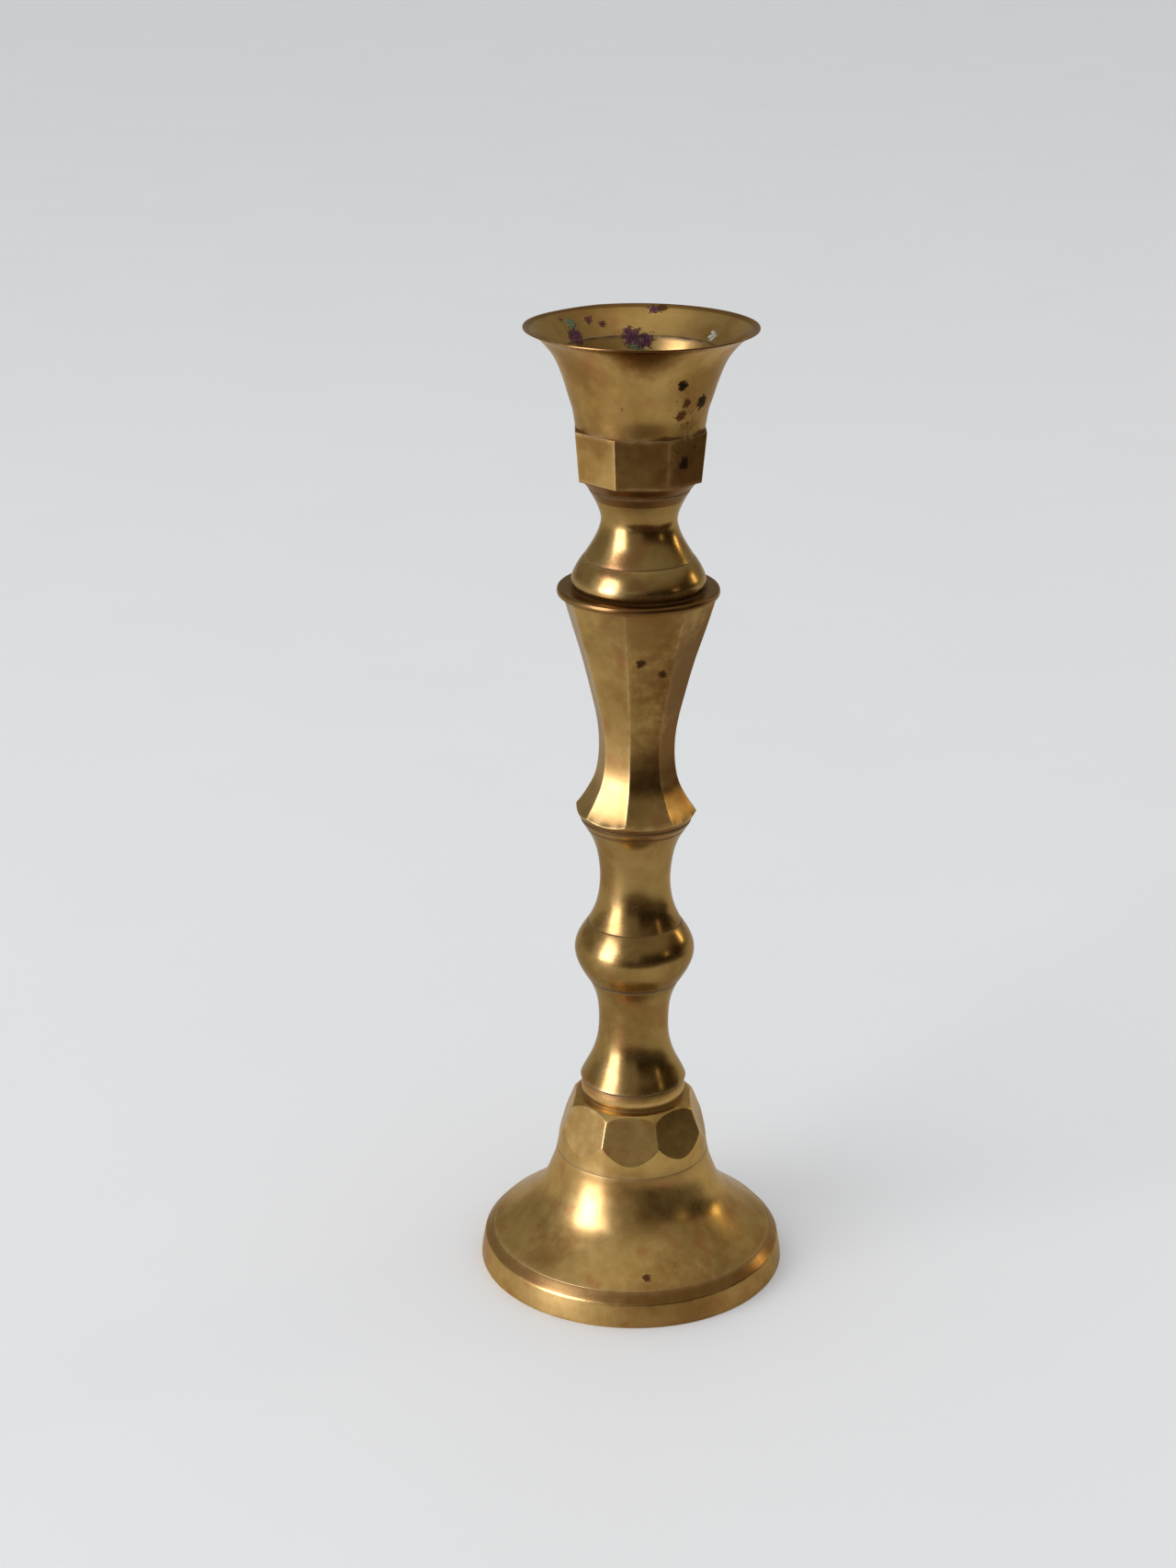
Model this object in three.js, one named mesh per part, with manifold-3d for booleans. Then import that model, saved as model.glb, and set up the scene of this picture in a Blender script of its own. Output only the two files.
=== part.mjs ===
// A brass candlestick: six turned and faceted brass sections, stacked on one another and
// clamped by a long hexagon-head bolt that runs up from under the base into the candle cup.
// Millimetres, +Z up, the table at z = 0. Azimuth 0 is the front, -Y, and +90 degrees is +X.
import * as THREE from 'three';
import { mergeVertices } from 'three/addons/utils/BufferGeometryUtils.js';
import Module from 'manifold-3d';

const wasm = await Module();
wasm.setup();

// ---------------------------------------------------------------- driving dimensions
const SIDES = 32; // straight sides around a turned surface
const FLATS = 8; // flats around each faceted section
const CURVE_STEPS = 1; // straight steps for each point of a curved outline

// heights of the seats between the sections, above the table
const SEAT = { spool: 41.9, baluster: 65, column: 100.4, neck: 148.7, cup: 168.7 };
const TOTAL_HEIGHT = 200;

// azimuth of one arris of each faceted section, degrees
const CLOCKING = { base: -24, column: -9.5, cup: -21 };

const BOLT = { radius: 2.95, length: 140, acrossFlats: 10, head: 4, chamfer: 0.6 };
const FLAT_WASHER = { radius: 6, thick: 1.6 };
const SPRING_WASHER = { radius: 5.9, thick: 1.6, split: 1 };
const CLEARANCE_HOLE = 3.3; // radius of the bolt's hole through every section
const SNUG_HOLE = 3.25; // radius inside both washers and the cup's tapped hole

// each section has a round spigot below it, which sits in a counterbore in the section beneath
const SPIGOT = { radius: 5, length: 2, cupLength: 5 };
const COUNTERBORE = { radius: 5.3, spare: 0.3 };

const WEB_UNDERSIDE = 37.2; // the face inside the base that the washers press on
const SOCKET = { radius: 11.1, floor: 8.3 }; // takes a 7/8 inch (22.2 mm) candle
const TAPPED_DEPTH = 5.7; // top of the cup's tapped hole, above the cup's seat
const GROOVE = 0.25; // half the width, and the depth, of a turned decorative line
const FAR = 60; // a radius well outside every section

// ---------------------------------------------------------------- outlines and solids
const radians = THREE.MathUtils.degToRad;
const arrisRadius = (flatRadius) => flatRadius / Math.cos(Math.PI / FLATS);

// An outline in radius and height, run anticlockwise: up the outside and down the inside.
class Outline {
  constructor(radius, height) {
    this.path = new THREE.Path().moveTo(radius, height);
  }
  line(...points) {
    for (const [radius, height] of points) this.path.lineTo(radius, height);
    return this;
  }
  curve(...points) {
    this.path.splineThru(points.map(([radius, height]) => new THREE.Vector2(radius, height)));
    return this;
  }
  // a turned line in a surface whose radius changes by lean for each millimetre of height
  groove(radius, height, lean) {
    return this.line(
      [radius - lean * GROOVE, height - GROOVE],
      [radius - GROOVE, height],
      [radius + lean * GROOVE, height + GROOVE],
    );
  }
  points() {
    return this.path.getPoints(CURVE_STEPS);
  }
}

// A three.js geometry as a manifold-3d solid, with its faces turned outwards.
function solidOf(geometry) {
  const bare = geometry.clone();
  bare.deleteAttribute('normal');
  bare.deleteAttribute('uv');
  const merged = mergeVertices(bare, 1e-4);
  const spots = merged.attributes.position.array;
  const corner = (i) => new THREE.Vector3().fromArray(spots, 3 * i);
  const faces = [];
  let volume = 0;
  for (let i = 0; i < merged.index.count; i += 3) {
    const [a, b, c] = merged.index.array.slice(i, i + 3);
    if (a === b || b === c || c === a) continue;
    faces.push([a, b, c]);
    volume += corner(a).dot(corner(b).cross(corner(c)));
  }
  const outward = volume > 0 ? faces : faces.map(([a, b, c]) => [a, c, b]);
  return new wasm.Manifold(new wasm.Mesh({
    numProp: 3,
    vertProperties: new Float32Array(spots),
    triVerts: new Uint32Array(outward.flat()),
  }));
}

// An outline turned about the upright axis: round, or with flats and one arris at the clocking.
function turned(outline, sides = SIDES, clocking = 0) {
  const geometry = new THREE.LatheGeometry(outline.points(), sides, radians(clocking));
  return solidOf(geometry.rotateX(Math.PI / 2));
}

// A closed outline: its last point meets its first.
function ring(outline, ...rest) {
  outline.path.closePath();
  return turned(outline, ...rest);
}

function sub(name, solid, material, height) {
  const mesh = solid.getMesh();
  const geometry = new THREE.BufferGeometry();
  geometry.setAttribute('position', new THREE.BufferAttribute(mesh.vertProperties, 3));
  geometry.setIndex(new THREE.BufferAttribute(mesh.triVerts, 1));
  geometry.computeVertexNormals();
  const part = new THREE.Mesh(geometry, material);
  part.name = name;
  part.position.z = height;
  return part;
}

// The inside of a stem section, from its top seat down to the foot of its spigot: the
// counterbore, the bolt's hole, then the spigot back up to the bottom seat.
function bored(outline, height, upperSpigot = SPIGOT.length) {
  const shoulder = height - upperSpigot - COUNTERBORE.spare;
  return outline.line(
    [COUNTERBORE.radius, height],
    [COUNTERBORE.radius, shoulder],
    [CLEARANCE_HOLE, shoulder],
    [CLEARANCE_HOLE, -SPIGOT.length],
    [SPIGOT.radius, -SPIGOT.length],
    [SPIGOT.radius, 0],
  );
}

// ---------------------------------------------------------------- materials
const brass = (color, roughness) => new THREE.MeshStandardMaterial({ color, roughness, metalness: 1 });
const BASE_BRASS = brass(0xa98a4e, 0.34);
const SPOOL_BRASS = brass(0xa8834a, 0.3);
const BALUSTER_BRASS = brass(0xab8848, 0.3);
const COLUMN_BRASS = brass(0xa4824c, 0.36);
const NECK_BRASS = brass(0xb08d4a, 0.28);
const CUP_BRASS = brass(0xa5844a, 0.38);
const PLATED_STEEL = new THREE.MeshStandardMaterial({ color: 0x9a9c9c, roughness: 0.35, metalness: 1 });
const SPRING_STEEL = new THREE.MeshStandardMaterial({ color: 0x55544f, roughness: 0.45, metalness: 1 });

// ---------------------------------------------------------------- sections
// Bell-shaped hollow foot: upright skirt, dished shoulder, faceted bulge, and a ring on top.
function base() {
  const outline = new Outline(32.1, 0)
    .line([31.3, 5])
    .groove(29.55, 6.9, -0.9)
    .line([28.05, 8])
    .curve([23.05, 12], [19.4, 16], [17.4, 20.2], [15.95, 25.1])
    .groove(15.9, 25.45, -0.15)
    .curve([15.5, 29], [15.45, 31], [14.35, 35], [13.1, 36.9], [11.7, 38])
    .line([10.4, 38.1], [10.4, 38.5], [10.75, 38.9], [10.75, 41.5], [10.5, SEAT.spool])
    .line([COUNTERBORE.radius, SEAT.spool])
    .line([COUNTERBORE.radius, SEAT.spool - SPIGOT.length - COUNTERBORE.spare])
    .line([CLEARANCE_HOLE, SEAT.spool - SPIGOT.length - COUNTERBORE.spare])
    .line([CLEARANCE_HOLE, WEB_UNDERSIDE], [8.3, WEB_UNDERSIDE])
    .curve([10.2, 34.8], [12.1, 29.5], [13.3, 25], [15, 19.5], [18.3, 13.6])
    .line([22, 9.9], [28.6, 4], [29.5, 3], [29.5, 0]);
  // the flats lean in; above and below the bulge this solid stands clear of the section
  const flatAt = (height) => arrisRadius(15.5 - 0.37 * (height - 28.3));
  const flats = new Outline(0, -1)
    .line([FAR, -1], [FAR, 27], [flatAt(27), 27], [flatAt(38.2), 38.2], [FAR, 38.2])
    .line([FAR, SEAT.spool + 1], [0, SEAT.spool + 1]);
  return ring(outline).intersect(turned(flats, FLATS, CLOCKING.base));
}

// Short waisted spool with a sharp lip at its foot.
function lowerSpool() {
  const height = SEAT.baluster - SEAT.spool;
  const outline = new Outline(SPIGOT.radius, 0)
    .line([10.6, 0], [11.06, 0.3])
    .curve([9.66, 3.1], [8.3, 6.1], [7.3, 12.4], [7.6, 17.6], [8.65, 21.1], [9.6, height]);
  return ring(bored(outline, height));
}

// Onion-shaped knop that runs up into a long waisted neck.
function baluster() {
  const height = SEAT.column - SEAT.baluster;
  const outline = new Outline(SPIGOT.radius, 0)
    .line([9.7, 0])
    .curve([11.5, 3], [12.35, 6.6], [11.7, 9.1], [9.8, 12.1])
    .groove(9.6, 12.4, -0.6)
    .curve([8.4, 15], [7.25, 21], [7.8, 27.1], [9.5, 32.1], [11.3, height - 0.5])
    .line([11.3, height]);
  return ring(bored(outline, height));
}

// Eight flats that taper down, draw in to a waist and flare to a foot, under a thin round flange.
function facetedColumn() {
  const height = SEAT.neck - SEAT.column;
  const flangeUnderside = height - 1.4;
  const outline = new Outline(SPIGOT.radius, 0)
    .line([11.3, 0], [12.35, 1.8], [16.15, 4], [16.15, height - 0.4], [15.8, height]);
  const flats = new Outline(0, -SPIGOT.length - 1)
    .line([13.75, -SPIGOT.length - 1], [13.75, 0])
    .curve(
      [12.35, 1.8], [9.9, 5.6], [8.2, 9.6], [7.75, 15.1], [8.7, 22.6], [11.8, 34.6],
      [15.75, flangeUnderside],
    )
    .line([FAR, flangeUnderside], [FAR, height + 1], [0, height + 1]);
  return ring(bored(outline, height)).intersect(turned(flats, FLATS, CLOCKING.column));
}

// Bell that stands on the flange and draws in to the waist below the cup.
function neckBell() {
  const height = SEAT.cup - SEAT.neck;
  const outline = new Outline(SPIGOT.radius, 0)
    .line([12.7, 0], [13.3, 0.7])
    .curve([13.2, 2.2], [12.2, 4.3], [11.15, 5.8])
    .groove(10.94, 6.1, -0.8)
    .curve([9.5, 8.3], [8, 11.3], [7.5, 13.6], [8.2, 16.3], [10.15, height]);
  return ring(bored(outline, height, SPIGOT.cupLength));
}

// Faceted band under a thin trumpet flare, with the candle's socket above and the bolt's below.
function candleCup() {
  const height = TOTAL_HEIGHT - SEAT.cup;
  const [bandFoot, bandTop] = [2, 11.9];
  const outside = new Outline(0, -SPIGOT.cupLength)
    .line([SPIGOT.radius, -SPIGOT.cupLength], [SPIGOT.radius, 0], [10.15, 0], [11.75, bandFoot])
    .line([11.75, bandTop - 1], [12.78, bandTop])
    .curve([13.2, 15.3], [14.65, 20.3], [17.2, 26.3], [19.9, 29.3], [22.65, height - 0.35])
    .line([22.65, height], [0, height]);
  const band = new Outline(0, bandFoot)
    .line([12.75, bandFoot], [13.7, bandTop], [0, bandTop]);
  const socket = new Outline(0, SOCKET.floor)
    .line([SOCKET.radius, SOCKET.floor], [SOCKET.radius, 13.3])
    .curve([13.2, 19.3], [16.05, 26.1])
    .line([16.4, 26.3])
    .curve([18.9, 29], [22.3, height])
    .line([22.3, height + 1], [0, height + 1]);
  const tappedHole = new Outline(0, -SPIGOT.cupLength - 1)
    .line([SNUG_HOLE, -SPIGOT.cupLength - 1], [SNUG_HOLE, TAPPED_DEPTH], [0, TAPPED_DEPTH]);
  return turned(outside)
    .add(turned(band, FLATS, CLOCKING.cup))
    .subtract(turned(socket))
    .subtract(turned(tappedHole));
}

// ---------------------------------------------------------------- fasteners
function tieBolt() {
  const shank = new Outline(0, -BOLT.head / 2)
    .line([BOLT.radius, -BOLT.head / 2], [BOLT.radius, BOLT.length - BOLT.chamfer])
    .line([BOLT.radius - BOLT.chamfer, BOLT.length], [0, BOLT.length]);
  const corner = BOLT.acrossFlats / 2 / Math.cos(Math.PI / 6);
  const head = new THREE.CylinderGeometry(corner, corner, BOLT.head, 6)
    .rotateX(Math.PI / 2)
    .translate(0, 0, -BOLT.head / 2);
  return turned(shank).add(solidOf(head));
}

function washer({ radius, thick }) {
  return ring(new Outline(SNUG_HOLE, 0).line([radius, 0], [radius, thick], [SNUG_HOLE, thick]));
}

function springWasher() {
  const gap = new THREE.BoxGeometry(SPRING_WASHER.split, 2 * SPRING_WASHER.radius, 4 * SPRING_WASHER.thick)
    .translate(0, -SPRING_WASHER.radius, 0);
  return washer(SPRING_WASHER).subtract(solidOf(gap));
}

// ---------------------------------------------------------------- assembly
const flatWasherSeat = WEB_UNDERSIDE - FLAT_WASHER.thick;
const springWasherSeat = flatWasherSeat - SPRING_WASHER.thick;

const candlestick = new THREE.Group();
candlestick.add(
  sub('base', base(), BASE_BRASS, 0),
  sub('lower_spool', lowerSpool(), SPOOL_BRASS, SEAT.spool),
  sub('baluster', baluster(), BALUSTER_BRASS, SEAT.baluster),
  sub('faceted_column', facetedColumn(), COLUMN_BRASS, SEAT.column),
  sub('neck_bell', neckBell(), NECK_BRASS, SEAT.neck),
  sub('candle_cup', candleCup(), CUP_BRASS, SEAT.cup),
  sub('flat_washer', washer(FLAT_WASHER), PLATED_STEEL, flatWasherSeat),
  sub('spring_washer', springWasher(), SPRING_STEEL, springWasherSeat),
  sub('tie_bolt', tieBolt(), PLATED_STEEL, springWasherSeat),
);

export default candlestick;
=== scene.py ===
"""The brass candlestick: fine turned and faceted meshes, aged-brass materials, camera and light.

Every section is an outline in radius and height, in millimetres above its own seat, turned about
the upright axis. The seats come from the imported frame. Azimuth 0 is the front, -Y, and +90 is +X.
"""

import math

import bmesh
import bpy
import numpy as np
from mathutils import Matrix, Vector, noise


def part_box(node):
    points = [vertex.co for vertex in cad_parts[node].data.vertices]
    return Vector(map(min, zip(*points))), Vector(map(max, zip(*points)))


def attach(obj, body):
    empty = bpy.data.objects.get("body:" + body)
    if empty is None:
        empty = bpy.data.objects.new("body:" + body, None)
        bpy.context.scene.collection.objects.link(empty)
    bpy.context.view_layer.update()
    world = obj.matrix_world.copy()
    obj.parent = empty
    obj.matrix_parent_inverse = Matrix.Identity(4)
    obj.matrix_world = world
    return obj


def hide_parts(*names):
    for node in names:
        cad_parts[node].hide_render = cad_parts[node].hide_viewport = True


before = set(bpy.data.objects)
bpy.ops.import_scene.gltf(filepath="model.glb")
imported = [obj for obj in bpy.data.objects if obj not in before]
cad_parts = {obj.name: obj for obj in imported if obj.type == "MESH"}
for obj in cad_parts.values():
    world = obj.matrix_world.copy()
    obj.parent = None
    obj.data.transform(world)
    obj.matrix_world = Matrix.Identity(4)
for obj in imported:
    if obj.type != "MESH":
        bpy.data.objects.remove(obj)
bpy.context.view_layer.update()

MM = 0.001

# ---------------------------------------------------------------- driving dimensions
FLATS = 8
CORNER_TO_FLAT = math.cos(math.pi / FLATS)  # an octagon's inner radius over its outer one
CLOCKING = {"base": -24.0, "faceted_column": -9.5, "candle_cup": -21.0}
SPIGOT_RADIUS, SPIGOT_LENGTH, CUP_SPIGOT_LENGTH = 5.0, 2.0, 5.0
COUNTERBORE_RADIUS, COUNTERBORE_SPARE = 5.3, 0.3
CLEARANCE_HOLE = 3.3
SOCKET_RADIUS, SOCKET_FLOOR = 11.1, 8.3
BOLT_RADIUS, THREAD_PITCH, THREAD_DEPTH, THREAD_LENGTH = 2.95, 1.0, 0.5, 24.0
BOLT_LENGTH, BOLT_HEAD, ACROSS_FLATS, BOLT_CHAMFER = 140.0, 4.0, 10.0, 0.7
HEAD_FACE, HEAD_COLLAR, COLLAR_THICK = 4.75, 4.6, 0.2  # radii of the head's end face and collar
HEXAGON = 6
THREAD_ROOM = 0.1  # between the bolt's thread and the cup's
THREAD_ROOT, THREAD_FLANKS, THREAD_RUN_OUT = 0.12, 0.7, 1.5  # two shares of a turn, and a length
WASHER_BORE, PLAIN_WASHER_RADIUS, SPRING_WASHER_RADIUS, SPLIT = 3.2, 6.0, 5.9, 1.0

EDGE = 0.12  # rounding of a worn turned edge
ARRIS = 0.22  # rounding of the arris between two flats
SEAT_EDGE = 0.2  # rounding where two sections meet
GROOVE_WIDTH, GROOVE_DEPTH, GROOVE_EDGE = 0.26, 0.1, 0.05
CORNER_SHARE = 0.45  # how much of a run the rounding of one corner may use up
HALF_STEPS = 13  # mesh columns from the middle of a flat to its arris
CROWDING = 1.7  # how much closer the columns stand near an arris
ROW_STEP = 0.75  # mesh rows are about this far apart
UNEVEN, EVEN_RADIUS = 0.035, 6.0  # how far the surface wanders, and where that starts to fade inward
GRIME_REACH, WEAR_REACH = 0.3, 0.22  # how far dirt and wear spread along an outline
EDGE_TURN, WORN_TURN = 0.15, 0.35  # turn from row to row where wear starts and where it is full
ARRIS_WEAR, ARRIS_WEAR_REACH = 0.8, 0.25
RIM_START, RIM_WIDTH, RIM_DIP = 18.0, 4.5, 0.3  # where the cup's rim is uneven, and by how much
SHARP_ANGLE = 38.0  # shading breaks at edges sharper than this, in degrees


def top_of(node):
    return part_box(node)[1].z / MM


SEAT = {
    "base": 0.0,
    "lower_spool": top_of("base"),
    "baluster": top_of("lower_spool"),
    "faceted_column": top_of("baluster"),
    "neck_bell": top_of("faceted_column"),
    "candle_cup": top_of("neck_bell"),
}
HEIGHT = {node: top_of(node) - seat for node, seat in SEAT.items()}
WEB_UNDERSIDE = top_of("flat_washer")
BOLT_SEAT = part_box("spring_washer")[0].z / MM


# ---------------------------------------------------------------- outlines
class Run:
    """One stretch of an outline, and how its far corner is rounded and soiled."""

    def __init__(self, points, corner=EDGE, dirt=0.0, arris=False, cast=0.0, count=None):
        self.points = np.array(points, float)
        self.corner, self.dirt, self.arris, self.cast = corner, dirt, arris, cast
        self.count = count or max(2, round(self.length() / ROW_STEP) + 1)

    def steps(self):
        return np.concatenate([[0], np.cumsum(np.hypot(*np.diff(self.points, axis=0).T))])

    def length(self):
        return self.steps()[-1]

    def trimmed(self, first, last):
        steps = self.steps()
        spots = np.linspace(first, steps[-1] - last, self.count)
        return np.stack([np.interp(spots, steps, self.points[:, k]) for k in (0, 1)], 1)


def spline(points, count=90):
    """Close points on a smooth curve through a few: a natural cubic, by distance along it."""
    points = np.array(points, float)
    gaps = np.hypot(*np.diff(points, axis=0).T)
    knots = np.concatenate([[0], np.cumsum(gaps)])
    system, load = np.eye(len(points)), np.zeros_like(points)
    for i in range(1, len(points) - 1):
        system[i, i - 1 : i + 2] = gaps[i - 1], 2 * (gaps[i - 1] + gaps[i]), gaps[i]
        load[i] = 6 * (
            (points[i + 1] - points[i]) / gaps[i] - (points[i] - points[i - 1]) / gaps[i - 1]
        )
    bend = np.linalg.solve(system, load)
    where = np.linspace(0, knots[-1], count)
    k = np.clip(np.searchsorted(knots, where, side="right") - 1, 0, len(gaps) - 1)
    gap = gaps[k][:, None]
    after = (where - knots[k])[:, None] / gap
    before = 1 - after
    cubic = (before**3 - before) * bend[k] + (after**3 - after) * bend[k + 1]
    return before * points[k] + after * points[k + 1] + cubic * gap**2 / 6


def groove(radius, height, lean):
    """A V-shaped turned line, in a surface whose radius changes by lean per millimetre of height."""
    along = np.array([lean, 1.0]) / math.hypot(lean, 1)
    inward = np.array([-along[1], along[0]])
    middle = np.array([radius, height])
    first, last = middle - along * GROOVE_WIDTH / 2, middle + along * GROOVE_WIDTH / 2
    bottom = middle + inward * GROOVE_DEPTH
    return [
        Run([first, bottom], corner=GROOVE_EDGE, dirt=0.45, count=2),
        Run([bottom, last], corner=GROOVE_EDGE, count=2),
    ], (tuple(first), tuple(last))


def flat_radius(flat, theta, flats, rounding):
    """Radius, at theta from the middle of a flat, of a regular prism with rounded arrises."""
    half = math.pi / flats
    corner = flat - rounding
    if abs(flat * math.tan(theta)) <= corner * math.tan(half):
        return flat / math.cos(theta)
    centre = corner / math.cos(half)
    off = half - abs(theta)
    reach = max(rounding**2 - (centre * math.sin(off)) ** 2, 0)
    return centre * math.cos(off) + math.sqrt(reach)


def crossings(curve, limit):
    """The lowest and highest points of a rising curve where its radius passes limit(height)."""
    over = np.array([r - limit(z) for r, z in curve])
    inside = np.nonzero(over > 0)[0]
    first, last = inside[0], inside[-1]

    def at(a, b):
        return curve[a] + (curve[b] - curve[a]) * over[a] / (over[a] - over[b])

    low = at(first - 1, first) if first else curve[0]
    return low, at(last, last + 1) if last + 1 < len(curve) else curve[-1]


def rounded(runs, closed):
    """The runs as one outline with rounded corners, and each point's dirt, arris and cast skin."""
    points, extras = [], []
    for k, run in enumerate(runs):
        room = CORNER_SHARE * run.length()
        before = runs[k - 1].corner if k or closed else 0
        first, last = min(before, room), min(run.corner, room)
        if k == len(runs) - 1 and not closed:
            last = 0
        spots = run.trimmed(first, last)
        points.append(spots)
        extras += [(0.0, run.arris, run.cast)] * len(spots)
        if k < len(runs) - 1 or closed:
            following = runs[(k + 1) % len(runs)]
            start, corner = spots[-1], run.points[-1]
            end = following.trimmed(min(run.corner, CORNER_SHARE * following.length()), 0)[0]
            for t in (0.25, 0.5, 0.75):
                bow = (1 - t) ** 2 * start + 2 * t * (1 - t) * corner + t * t * end
                points.append(bow[None])
                extras.append((run.dirt, run.arris and following.arris, run.cast))
    return np.concatenate(points), np.array(extras, float)


def soiled(points, extras):
    """Distance along the outline, with the grime near each dirty corner and wear on each edge."""
    lengths = np.hypot(*np.diff(points, axis=0).T)
    arc = np.concatenate([[0], np.cumsum(lengths)])
    steps = np.gradient(points, arc + np.arange(len(arc)) * 1e-9, axis=0)
    heading = np.unwrap(np.arctan2(steps[:, 1], steps[:, 0]))
    turning = np.gradient(heading)
    grime = np.zeros(len(arc))
    for spot, amount in zip(arc, extras[:, 0]):
        if amount:
            grime = np.maximum(grime, amount * np.exp(-np.abs(arc - spot) / GRIME_REACH))
    wear = np.zeros(len(arc))
    for spot, turn in zip(arc, turning):
        if turn > EDGE_TURN:
            worn = min(1, turn / WORN_TURN)
            wear = np.maximum(wear, worn * np.exp(-np.abs(arc - spot) / WEAR_REACH))
    return arc, grime, wear


# ---------------------------------------------------------------- meshes
def columns(flats, clocking, half_steps):
    """Azimuths round a section and each one's angle from the middle of its flat, in radians."""
    half = math.pi / flats
    share = np.arange(-half_steps, half_steps) / half_steps
    theta = half * np.sign(share) * (1 - (1 - np.abs(share)) ** CROWDING)
    middles = math.radians(clocking) + half + 2 * half * np.arange(flats)
    return (middles[:, None] + theta).ravel(), np.tile(theta, flats)


def wander(point):
    """A slow unevenness, inward only and the same at every run."""
    slow = noise.noise(point * 0.11) + 0.35 * noise.noise(point * 0.33 + Vector((7, 3, 1)))
    return UNEVEN * min(0.0, slow - 0.9)


def mesh_object(name, positions, faces, values, material):
    mesh = bpy.data.meshes.new(name)
    mesh.from_pydata(positions.tolist(), [], faces)
    for key, numbers in values.items():
        mesh.attributes.new(key, "FLOAT", "POINT").data.foreach_set(
            "value", np.asarray(numbers, np.float32)
        )
    mesh.materials.append(material)
    mesh.shade_smooth()
    mesh.set_sharp_from_angle(angle=math.radians(SHARP_ANGLE))
    piece = bpy.data.objects.new(name, mesh)
    bpy.context.scene.collection.objects.link(piece)
    return piece


def turned(name, outline_at, material, seat, flats=FLATS, clocking=0.0, closed=True, bend=None,
           wandering=True, half_steps=HALF_STEPS):
    """A section from its outline at each angle from the middle of a flat.

    closed outlines run round to their start; the others start and end on the axis.
    """
    azimuths, thetas = columns(flats, clocking, half_steps)
    cache = {}
    for theta in thetas:
        key = round(abs(theta), 9)
        if key not in cache:
            points, extras = rounded(outline_at(key), closed)
            cache[key] = points, extras, soiled(points, extras)
    rows = len(points)
    arc = cache[min(cache)][2][0]
    grid = np.zeros((len(azimuths), rows, 3))
    values = {key: np.zeros((len(azimuths), rows)) for key in ("arc", "grime", "wear", "cast")}
    for j, (azimuth, theta) in enumerate(zip(azimuths, thetas)):
        points, extras, (_, grime, wear) = cache[round(abs(theta), 9)]
        off = (math.pi / flats - abs(theta)) * points[:, 0]
        edge = ARRIS_WEAR * extras[:, 1] * np.exp(-off / ARRIS_WEAR_REACH)
        values["arc"][j], values["grime"][j] = arc, grime
        values["wear"][j], values["cast"][j] = np.maximum(wear, edge), extras[:, 2]
        for i, (radius, height) in enumerate(points):
            if bend:
                radius, height = bend(radius, height, azimuth)
            spot = Vector((radius * math.sin(azimuth), -radius * math.cos(azimuth), height + seat))
            out = max(radius, 1e-6)
            shift = wander(spot) * min(1, radius / EVEN_RADIUS) if wandering else 0.0
            grid[j, i] = spot.x * (1 + shift / out), spot.y * (1 + shift / out), spot.z
    count = len(azimuths)
    faces = []
    for j in range(count):
        beside = (j + 1) % count
        for i in range(rows if closed else rows - 1):
            above = (i + 1) % rows
            faces.append((j * rows + i, beside * rows + i, beside * rows + above, j * rows + above))
    flat_values = {key: grid_values.ravel() for key, grid_values in values.items()}
    piece = mesh_object(name, grid.reshape(-1, 3) * MM, faces, flat_values, material)
    if not closed:
        weld(piece)
    return piece


def weld(piece):
    """Joins the points of a row that lies on the axis, and drops the faces that it flattens."""
    form = bmesh.new()
    form.from_mesh(piece.data)
    bmesh.ops.remove_doubles(form, verts=form.verts, dist=1e-7)
    form.to_mesh(piece.data)
    form.free()


def stem_inside(height, upper_spigot=SPIGOT_LENGTH):
    """The top seat, counterbore, bolt hole, spigot and bottom seat of a stem section."""
    shoulder = height - upper_spigot - COUNTERBORE_SPARE
    stops = [
        (COUNTERBORE_RADIUS, height),
        (COUNTERBORE_RADIUS, shoulder),
        (CLEARANCE_HOLE, shoulder),
        (CLEARANCE_HOLE, -SPIGOT_LENGTH),
        (SPIGOT_RADIUS, -SPIGOT_LENGTH),
        (SPIGOT_RADIUS, 0),
    ]
    return [Run([a, b], cast=0.3, count=3) for a, b in zip(stops, stops[1:])]


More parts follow.
